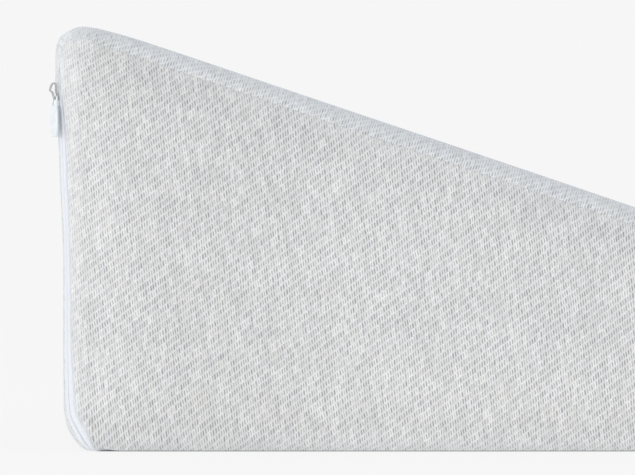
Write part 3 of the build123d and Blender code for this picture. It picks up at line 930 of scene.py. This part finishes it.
def strip_loop(C, width, thick, z):
    T = np.roll(C, -1, 0) - np.roll(C, 1, 0); T /= np.linalg.norm(T, axis=1, keepdims=True)
    Nn = np.stack([T[:, 1], -T[:, 0]], 1)
    w, t, r = width / 2, thick / 2, 0.14
    sec = outline_round([(-w, -t), (w, -t), (w, t), (-w, t)], r, 3)
    V = []
    for c, nn in zip(C, Nn):
        hd = c[None] + sec[:, 1:2] * nn[None]
        V.append(at_zip(z, sec[:, 0], hd[:, 1], hd[:, 0]))
    n, m = len(C), len(sec)
    f = [(i * m + j, i * m + (j + 1) % m, ((i + 1) % n) * m + (j + 1) % m, ((i + 1) % n) * m + j)
         for i in range(n) for j in range(m)]
    return np.vstack(V), f


v, f = strip_loop(loop, 1.35, 0.50, CROWN_Z)
crown_ob = mesh_piece("slider_hook", to_frame(v), f, body="slider")
fix_normals(crown_ob)

# the pull: an eye of round bar, flattened into a wide blade with soft corners
HH, HD = 0.65 + 0.70, 1.0 + 0.80 * 0.65 + 1.15


def ring_sweep(C3, r, z):
    """Round bar of radius r along the closed path C3 of (s, h, d)."""
    P = at_zip(z, C3[:, 0], C3[:, 2], C3[:, 1])
    T = np.roll(P, -1, 0) - np.roll(P, 1, 0); T /= np.linalg.norm(T, axis=1, keepdims=True)
    B = np.tile(face_n, (len(P), 1)); A = np.cross(T, B)
    w = np.arange(10) / 10 * 2 * math.pi
    V = P[:, None] + r * (A[:, None] * np.cos(w)[None, :, None] + B[:, None] * np.sin(w)[None, :, None])
    n, m = len(P), 10
    f = [(i * m + j, i * m + (j + 1) % m, ((i + 1) % n) * m + (j + 1) % m, ((i + 1) % n) * m + j)
         for i in range(n) for j in range(m)]
    return V.reshape(-1, 3), f


eye = outline_round([(-1.66, 0.0), (1.66, 0.0), (2.05, -4.25), (-2.05, -4.25)], 0.75, 5)

eye3 = np.column_stack([eye[:, 0], HH + eye[:, 1], HD + 0.78 * (1 - np.exp(np.minimum(eye[:, 1], 0.0) / 2.6))])


def lean_out(h):
    return 0.78 * (1 - np.exp(np.minimum(h, 0.0) / 2.6))


def blade():
    hs = np.concatenate([[-3.62, -3.66, -3.80], np.linspace(-4.1, -6.0, 8), np.linspace(-6.6, -15.4, 14),
                         np.linspace(-15.9, -17.3, 6), [-17.6, -17.78, -17.90, -17.95]])
    V = []
    m = 28
    w = np.arange(m) / m * 2 * math.pi
    for h in hs:
        half = 2.35 + 0.75 * smooth((-4.0 - h) / 2.2)
        half = half * (1.0 - 0.34 * smooth((-12.9 - h) / 5.0) ** 1.3)
        t = 0.60
        for end, span in ((-3.6, 0.5), (-17.96, 0.45)):
            q = abs(h - end) / span
            if q < 1:
                t *= math.sqrt(max(1 - (1 - q) ** 2, 0.02)); half -= 0.35 * (1 - math.sqrt(max(1 - (1 - q) ** 2, 0.0)))
        c, s_ = np.cos(w), np.sin(w)
        k = 2 / 5.5
        x = half * np.sign(c) * np.abs(c) ** k
        y = t * np.sign(s_) * np.abs(s_) ** k
        # a shallow dish in both faces
        y = y * (1 - 0.16 * np.clip(1 - (np.abs(x) / (0.72 * half)) ** 4, 0, 1) * smooth((-5.6 - h) / 1.2)
                 * smooth((h + 16.9) / 1.2))
        # the blade is cranked outwards, clear of the lips
        crank = float(lean_out(h))
        V.append(at_zip(CROWN_Z, x, HD + y + crank, np.full(m, HH + h)))
    n = len(hs)
    f = [(i * m + j, i * m + (j + 1) % m, (i + 1) * m + (j + 1) % m, (i + 1) * m + j)
         for i in range(n - 1) for j in range(m)]
    f.append(tuple(range(m))[::-1]); f.append(tuple((n - 1) * m + j for j in range(m)))
    return np.vstack(V), f


v, f = merge_parts([ring_sweep(eye3, 0.44, CROWN_Z), blade()])
pull_ob = mesh_piece("pull_blade", to_frame(v), f, body="pull")
fix_normals(pull_ob)

# crimped stops, on the tapes just under the cloth's closed edges
def top_stop(sg):
    pts = outline_round([(sg * 0.32, 165.95 - 150), (sg * 1.7, 165.95 - 150), (sg * 1.7, 167.8 - 150),
                         (sg * 0.32, 167.8 - 150)][::sg], 0.25, 3)
    return rounded_block(pts, -0.55, 0.12, 0.14, 150.0)


v, f = merge_parts([top_stop(1), top_stop(-1)])
stops_ob = mesh_piece("zipper_stops_top", to_frame(v), f)
fix_normals(stops_ob)

# ------------------------------------------------------------ materials
def new_mat(name):
    m = bpy.data.materials.new(name)
    m.use_nodes = True
    nt = m.node_tree
    nt.nodes.clear()
    out = nt.nodes.new("ShaderNodeOutputMaterial")
    bs = nt.nodes.new("ShaderNodeBsdfPrincipled")
    nt.links.new(bs.outputs[0], out.inputs[0])
    return m, nt, bs


class Net:
    """Small helper for math in a node tree."""

    def __init__(self, nt):
        self.nt = nt

    def node(self, kind, **kw):
        n = self.nt.nodes.new(kind)
        for k, v in kw.items():
            setattr(n, k, v)
        return n

    def put(self, sock, v):
        if isinstance(v, bpy.types.NodeSocket):
            self.nt.links.new(v, sock)
        else:
            sock.default_value = v

    def math(self, op, a, b=0.0, c=0.0, clamp=False):
        n = self.node("ShaderNodeMath", operation=op, use_clamp=clamp)
        self.put(n.inputs[0], a); self.put(n.inputs[1], b); self.put(n.inputs[2], c)
        return n.outputs[0]

    def ramp(self, v, a, b, lo=0.0, hi=1.0, mode="SMOOTHSTEP"):
        n = self.node("ShaderNodeMapRange", interpolation_type=mode)
        n.clamp = True
        self.put(n.inputs[0], v)
        for i, q in zip((1, 2, 3, 4), (a, b, lo, hi)):
            self.put(n.inputs[i], q)
        return n.outputs[0]

    def noise(self, vec, scale, detail=2.0, rough=0.5, dims="3D"):
        n = self.node("ShaderNodeTexNoise", noise_dimensions=dims)
        self.put(n.inputs["Vector"], vec)
        n.inputs["Scale"].default_value = scale
        n.inputs["Detail"].default_value = detail
        n.inputs["Roughness"].default_value = rough
        return n.outputs[0]

    def white(self, a, b=None):
        if b is None:
            n = self.node("ShaderNodeTexWhiteNoise", noise_dimensions="1D")
            self.put(n.inputs["W"], a)
        else:
            n = self.node("ShaderNodeTexWhiteNoise", noise_dimensions="2D")
            self.put(n.inputs["Vector"], self.vec(a, b, 0.0))
        return n.outputs[0], n.outputs[1]

    def vec(self, x, y, z=0.0):
        n = self.node("ShaderNodeCombineXYZ")
        self.put(n.inputs[0], x); self.put(n.inputs[1], y); self.put(n.inputs[2], z)
        return n.outputs[0]

    def mix(self, f, a, b):
        n = self.node("ShaderNodeMix", data_type="RGBA")
        self.put(n.inputs[0], f)
        for s, v in ((n.inputs[6], a), (n.inputs[7], b)):
            if isinstance(v, (tuple, list)):
                s.default_value = (*v, 1.0) if len(v) == 3 else v
            else:
                self.nt.links.new(v, s)
        return n.outputs[2]

    def scale_color(self, col, f):
        n = self.node("ShaderNodeVectorMath", operation="SCALE")
        self.put(n.inputs[0], col); self.put(n.inputs[3], f)
        return n.outputs[0]

    def bump(self, h, dist, strength=1.0):
        n = self.node("ShaderNodeBump")
        n.inputs["Distance"].default_value = dist
        n.inputs["Strength"].default_value = strength
        self.put(n.inputs["Height"], h)
        return n.outputs[0]


def twill(name, light=(0.70, 0.70, 0.695), dark=(0.38, 0.38, 0.385)):
    """Coarse four-end twill: light warps float over three wefts, with dark gaps
    between the floats; heather from thread to thread."""
    m, nt, bs = new_mat(name)
    N = Net(nt)
    at_ = N.node("ShaderNodeAttribute", attribute_name="weave")
    sep = N.node("ShaderNodeSeparateXYZ")
    nt.links.new(at_.outputs["Vector"], sep.inputs[0])
    a0, b0, soft = sep.outputs[0], sep.outputs[1], sep.outputs[2]
    # threads wander a little
    wv = N.noise(N.vec(N.math("MULTIPLY", a0, 0.09), N.math("MULTIPLY", b0, 0.05)), 1.0, 2.0, 0.6)
    wv2 = N.noise(N.vec(N.math("MULTIPLY", a0, 0.31), N.math("MULTIPLY", b0, 0.10), 7.3), 1.0, 1.0, 0.5)
    a = N.math("ADD", a0, N.math("MULTIPLY_ADD", wv, 0.9, N.math("MULTIPLY_ADD", wv2, 0.5, -0.7)))
    b = N.math("ADD", b0, N.math("MULTIPLY_ADD", wv2, 1.2, -0.6))
    i = N.math("FLOOR", a)
    s = N.math("SUBTRACT", a, i)
    k = N.math("MULTIPLY", N.math("SUBTRACT", a, b), 0.25)
    kk = N.math("FLOOR", k)
    r, rc = N.white(i, kk)
    r2, _ = N.white(kk, i)
    r3, _ = N.white(N.math("ADD", i, 57.0), kk)
    t = N.math("SUBTRACT", k, kk)
    # gap between two warps
    lean = N.math("MULTIPLY_ADD", N.math("SUBTRACT", t, 0.5), 0.16, 0.5)
    ds = N.math("ABSOLUTE", N.math("SUBTRACT", s, lean))
    half = N.math("MULTIPLY_ADD", r2, 0.10, 0.12)
    g = N.ramp(N.math("SUBTRACT", ds, half), -0.08, 0.10, 1.0, 0.0)
    # the float's length along the twill
    dt = N.math("ABSOLUTE", N.math("SUBTRACT", t, N.math("MULTIPLY_ADD", r2, 0.08, 0.46)))
    h = N.ramp(dt, 0.22, 0.40, 1.0, 0.17)
    depth = N.math("MULTIPLY_ADD", r, 0.70, 0.52)
    ridge = N.ramp(dt, 0.34, 0.50, 0.0, 1.0)
    darkness = N.math("MULTIPLY", N.math("MULTIPLY", g, h), N.math("MULTIPLY", depth, soft))
    # warp floats are rounded; the weft shows as a lower, smoother step
    crown = N.math("SUBTRACT", 1.0, N.math("MULTIPLY", N.math("MULTIPLY", N.math("SUBTRACT", 0.5, ds), 2.0),
                                           N.math("MULTIPLY", N.math("SUBTRACT", 0.5, ds), 2.0)))
    col = N.mix(N.math("MINIMUM", darkness, 1.0), light, dark)
    # thread to thread, and slubs
    slub = N.noise(N.vec(N.math("MULTIPLY", i, 3.7), N.math("MULTIPLY", b0, 0.035)), 1.0, 1.0, 0.5)
    weft = N.noise(N.vec(N.math("MULTIPLY", a0, 0.02), N.math("MULTIPLY", N.math("FLOOR", b), 2.9), 3.1), 1.0, 1.0, 0.5)
    cloud = N.noise(N.vec(N.math("MULTIPLY", a0, 0.02), N.math("MULTIPLY", b0, 0.02), 9.0), 1.0, 2.0, 0.6)
    fine = N.noise(N.vec(N.math("MULTIPLY", a, 1.7), N.math("MULTIPLY", b, 0.9), 1.7), 1.0, 2.0, 0.6)
    v = N.math("MULTIPLY_ADD", slub, 0.16, N.math("MULTIPLY_ADD", weft, 0.07, N.math(
        "MULTIPLY_ADD", cloud, 0.08, N.math("MULTIPLY_ADD", fine, 0.34, N.math("MULTIPLY_ADD", r3, 0.10, 0.575)))))
    v = N.math("MULTIPLY_ADD", N.math("MULTIPLY", ridge, soft), 0.045, v)
    # a few brighter floats
    v = N.math("MULTIPLY_ADD", N.math("MULTIPLY", N.ramp(r3, 0.55, 1.0), soft), 0.09, v)
    col = N.scale_color(col, v)
    tint = N.mix(N.ramp(r2, 0.0, 1.0, 0.0, 1.0, "LINEAR"), (1.0, 0.995, 0.985), (0.985, 0.99, 1.01))
    # painted light and shade, stored per point on the mesh, multiplies the cloth's colour
    painted_shading = N.node("ShaderNodeAttribute", attribute_name="painted_shading")
    mul = N.node("ShaderNodeVectorMath", operation="MULTIPLY")
    nt.links.new(col, mul.inputs[0]); nt.links.new(tint, mul.inputs[1])
    mul2 = N.node("ShaderNodeVectorMath", operation="MULTIPLY")
    nt.links.new(mul.outputs[0], mul2.inputs[0]); nt.links.new(painted_shading.outputs["Vector"], mul2.inputs[1])
    nt.links.new(mul2.outputs[0], bs.inputs["Base Color"])
    height = N.math("SUBTRACT", N.math("MULTIPLY_ADD", crown, 0.35, N.math("MULTIPLY", fine, 0.35)),
                    N.math("MULTIPLY", darkness, 0.6))
    nt.links.new(N.bump(height, 0.00030, 0.8), bs.inputs["Normal"])
    nt.links.new(N.math("MULTIPLY_ADD", fine, 0.12, 0.84), bs.inputs["Roughness"])
    bs.inputs["Specular IOR Level"].default_value = 0.25
    bs.inputs["Sheen Weight"].default_value = 0.25
    bs.inputs["Sheen Roughness"].default_value = 0.5
    bs.inputs["Sheen Tint"].default_value = (0.75, 0.88, 1.0, 1.0)
    return m


def tape_mat():
    m, nt, bs = new_mat("zipper_tape_weave")
    N = Net(nt)
    at_ = N.node("ShaderNodeAttribute", attribute_name="weave")
    sep = N.node("ShaderNodeSeparateXYZ")
    nt.links.new(at_.outputs["Vector"], sep.inputs[0])
    a, b = sep.outputs[0], sep.outputs[1]
    rib = N.math("SINE", N.math("MULTIPLY", N.math("ADD", a, N.math("MULTIPLY", b, 0.5)), 6.2832))
    row = N.math("SINE", N.math("MULTIPLY", b, 6.2832))
    fine = N.noise(N.vec(N.math("MULTIPLY", a, 0.4), N.math("MULTIPLY", b, 0.4)), 1.0, 3.0, 0.6)
    f = N.math("MULTIPLY_ADD", rib, 0.10, N.math("MULTIPLY_ADD", row, 0.05, N.math("MULTIPLY", fine, 0.9)))
    col = N.mix(f, (0.64, 0.668, 0.71), (0.76, 0.785, 0.815))
    nt.links.new(col, bs.inputs["Base Color"])
    nt.links.new(N.bump(N.math("MULTIPLY_ADD", rib, 0.5, N.math("MULTIPLY", row, 0.3)), 0.00006, 0.7), bs.inputs["Normal"])
    nt.links.new(N.math("MULTIPLY_ADD", fine, 0.2, 0.5), bs.inputs["Roughness"])
    bs.inputs["Sheen Weight"].default_value = 0.15
    return m


def coil_mat():
    m, nt, bs = new_mat("zipper_coil_nylon")
    N = Net(nt)
    tc = N.node("ShaderNodeTexCoord")
    fine = N.noise(tc.outputs["Object"], 900.0, 2.0, 0.6)
    nt.links.new(N.mix(fine, (0.68, 0.71, 0.76), (0.80, 0.82, 0.86)), bs.inputs["Base Color"])
    nt.links.new(N.math("MULTIPLY_ADD", fine, 0.15, 0.28), bs.inputs["Roughness"])
    nt.links.new(N.bump(fine, 0.00003, 0.5), bs.inputs["Normal"])
    return m


def thread_mat():
    m, nt, bs = new_mat("thread_spun")
    N = Net(nt)
    tc = N.node("ShaderNodeTexCoord")
    fine = N.noise(tc.outputs["Object"], 1600.0, 3.0, 0.6)
    nt.links.new(N.mix(fine, (0.50, 0.51, 0.52), (0.70, 0.71, 0.72)), bs.inputs["Base Color"])
    nt.links.new(N.bump(fine, 0.00008, 0.7), bs.inputs["Normal"])
    bs.inputs["Roughness"].default_value = 0.8
    return m


def foam_mat():
    m, nt, bs = new_mat("foam_cells")
    N = Net(nt)
    tc = N.node("ShaderNodeTexCoord")
    v = N.node("ShaderNodeTexVoronoi")
    nt.links.new(tc.outputs["Object"], v.inputs["Vector"])
    v.inputs["Scale"].default_value = 1100.0
    big = N.noise(tc.outputs["Object"], 30.0, 2.0, 0.5)
    f = N.math("MULTIPLY_ADD", v.outputs["Distance"], 0.8, N.math("MULTIPLY", big, 0.3))
    nt.links.new(N.mix(f, (0.60, 0.57, 0.46), (0.86, 0.84, 0.74)), bs.inputs["Base Color"])
    nt.links.new(N.bump(v.outputs["Distance"], 0.0004, 0.8), bs.inputs["Normal"])
    bs.inputs["Roughness"].default_value = 0.95
    return m


def metal_mat(name, c0, c1, metallic, rough, scratch=220.0):
    m, nt, bs = new_mat(name)
    N = Net(nt)
    tc = N.node("ShaderNodeTexCoord")
    n1 = N.noise(tc.outputs["Object"], 350.0, 3.0, 0.6)
    n2 = N.noise(tc.outputs["Object"], 2600.0, 2.0, 0.6)
    nt.links.new(N.mix(N.ramp(n1, 0.3, 0.7), c0, c1), bs.inputs["Base Color"])
    bs.inputs["Metallic"].default_value = metallic
    nt.links.new(N.math("MULTIPLY_ADD", n2, 0.18, rough - 0.09), bs.inputs["Roughness"])
    nt.links.new(N.bump(n2, 0.00002, 0.4), bs.inputs["Normal"])
    return m


cloth = twill("cover_twill")
tape = tape_mat()
nylon = coil_mat()
spun = thread_mat()
foam_m = foam_mat()
slider_m = metal_mat("slider_enamel", (0.62, 0.645, 0.68), (0.72, 0.745, 0.77), 0.12, 0.36)
crown_m = metal_mat("crown_zinc", (0.36, 0.385, 0.40), (0.48, 0.505, 0.52), 0.7, 0.34)
pull_m = metal_mat("pull_enamel", (0.655, 0.70, 0.735), (0.715, 0.75, 0.775), 0.0, 0.32)
stop_m = metal_mat("stop_alloy", (0.50, 0.51, 0.54), (0.66, 0.67, 0.70), 0.8, 0.35)


def paint(ob, m):
    if ob.material_slots:
        for s in ob.material_slots:
            s.material = m
    else:
        ob.data.materials.append(m)


for ob in (side_near, side_far, slope_cl, rear_cl, base_cl):
    paint(ob, cloth)
for ob in (lip_side, lip_wrap):
    paint(ob, tape)
for ob in (coil_side, coil_wrap):
    paint(ob, nylon)
for ob in (thread_near, thread_far, thread_top, thread_base):
    paint(ob, spun)
paint(foam_ob, foam_m)
paint(stop_ob, stop_m)
paint(slider_ob, slider_m)
paint(crown_ob, crown_m)
paint(pull_ob, pull_m)
paint(stops_ob, stop_m)
for n_, m_ in (("slider_body", slider_m), ("slider_crown", crown_m), ("pull_tab", pull_m),
               ("zipper_top_stops", stop_m)):
    paint(nodes[n_], m_)

# ------------------------------------------------------------ what stands for what
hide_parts("side_panel_near")
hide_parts("side_panel_far")
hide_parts("slope_panel")
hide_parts("rear_panel")
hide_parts("base_panel")
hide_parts("foam_core")
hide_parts("zipper_tape_side")
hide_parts("zipper_tape_wrap")
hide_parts("zipper_coil_side")
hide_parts("zipper_coil_wrap")
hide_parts("seam_thread_near")
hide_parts("seam_thread_far")
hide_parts("seam_thread_top_rear")
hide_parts("seam_thread_rear_base")
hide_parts("zipper_bottom_stop")
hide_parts("slider_body")
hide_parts("slider_crown")
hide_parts("pull_tab")
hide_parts("zipper_top_stops")


def mesh_area(ob):
    return sum(p.area for p in ob.data.polygons)


for ob in (side_near, side_far, slope_cl, rear_cl, base_cl):
    print("AREA", ob.name, round(mesh_area(ob), 5), "faces", len(ob.data.polygons))

# ------------------------------------------------------------ floor, light, camera
sc = bpy.context.scene
sc.view_settings.view_transform = "Standard"
sc.view_settings.look = "None"

bm = bmesh.new()
bmesh.ops.create_circle(bm, cap_ends=True, segments=96, radius=60.0)
me = bpy.data.meshes.new("floor")
bm.to_mesh(me); bm.free()
floor = bpy.data.objects.new("floor", me)
floor.location = (0, 0, -0.0003)
sc.collection.objects.link(floor)
fm = bpy.data.materials.new("floor_pale")
fm.use_nodes = True
nt = fm.node_tree
nt.nodes.clear()
o = nt.nodes.new("ShaderNodeOutputMaterial")
add = nt.nodes.new("ShaderNodeAddShader")
em = nt.nodes.new("ShaderNodeEmission")
df = nt.nodes.new("ShaderNodeBsdfDiffuse")
em.inputs[0].default_value = (1.004, 1.0, 0.997, 1)
df.inputs[0].default_value = (0.16, 0.16, 0.16, 1)
# painted contact shadow: no glow from the floor right under the cushion
FN = Net(nt)
gp = nt.nodes.new("ShaderNodeNewGeometry")
sx = nt.nodes.new("ShaderNodeSeparateXYZ")
nt.links.new(gp.outputs["Position"], sx.inputs[0])
under_x = FN.ramp(FN.math("ABSOLUTE", FN.math("SUBTRACT", sx.outputs[0], 0.007)), 0.2600, 0.2645, 0.0, 1.0)
under_y = FN.ramp(FN.math("ABSOLUTE", sx.outputs[1]), 0.2970, 0.3010, 0.0, 1.0)
nt.links.new(FN.math("MULTIPLY_ADD", FN.math("MAXIMUM", under_x, under_y), 0.709, 0.08), em.inputs[1])
nt.links.new(em.outputs[0], add.inputs[0]); nt.links.new(df.outputs[0], add.inputs[1])
nt.links.new(add.outputs[0], o.inputs[0])
me.materials.append(fm)

world = bpy.data.worlds.new("studio")
sc.world = world
world.use_nodes = True
bg = world.node_tree.nodes["Background"]
WN = Net(world.node_tree)
wc = world.node_tree.nodes.new("ShaderNodeTexCoord")
wx = world.node_tree.nodes.new("ShaderNodeSeparateXYZ")
world.node_tree.links.new(wc.outputs["Generated"], wx.inputs[0])
world.node_tree.links.new(WN.mix(WN.ramp(wx.outputs[2], 0.06, 0.90), (1.0, 1.0, 1.0), (0.83, 0.85, 0.88)),
                          bg.inputs[0])
bg.inputs[1].default_value = 0.922


def area_light(name, loc, target, size, energy, color=(1, 1, 1)):
    ld = bpy.data.lights.new(name, "AREA")
    ld.shape = "DISK"
    ld.size = size
    ld.energy = energy
    ld.color = color
    lo = bpy.data.objects.new(name, ld)
    lo.location = loc
    d = Vector(target) - Vector(loc)
    lo.rotation_euler = d.to_track_quat("-Z", "Y").to_euler()
    lo.visible_camera = False
    sc.collection.objects.link(lo)
    return lo


area_light("key", (-1.95, -3.95, 0.35), (-0.15, -0.3, 0.1), 1.8, 67.0)
area_light("fill_left", (-3.0, -0.62, 0.32), (-0.25, -0.3, 0.1), 1.6, 12.5)

cam_d = bpy.data.cameras.new("camera")
cam = bpy.data.objects.new("camera", cam_d)
sc.collection.objects.link(cam)
sc.camera = cam
DIST = 3.0
cam_d.sensor_fit = "HORIZONTAL"
cam_d.sensor_width = 36.0
cam_d.lens = 36.0 * DIST / 0.28448
cam_d.clip_start, cam_d.clip_end = 0.1, 100.0
cam.location = ((SHIFT + 114.468) / 1000.0, -0.305 - DIST, 0.095700)
cam.rotation_euler = (math.pi / 2, 0, 0)
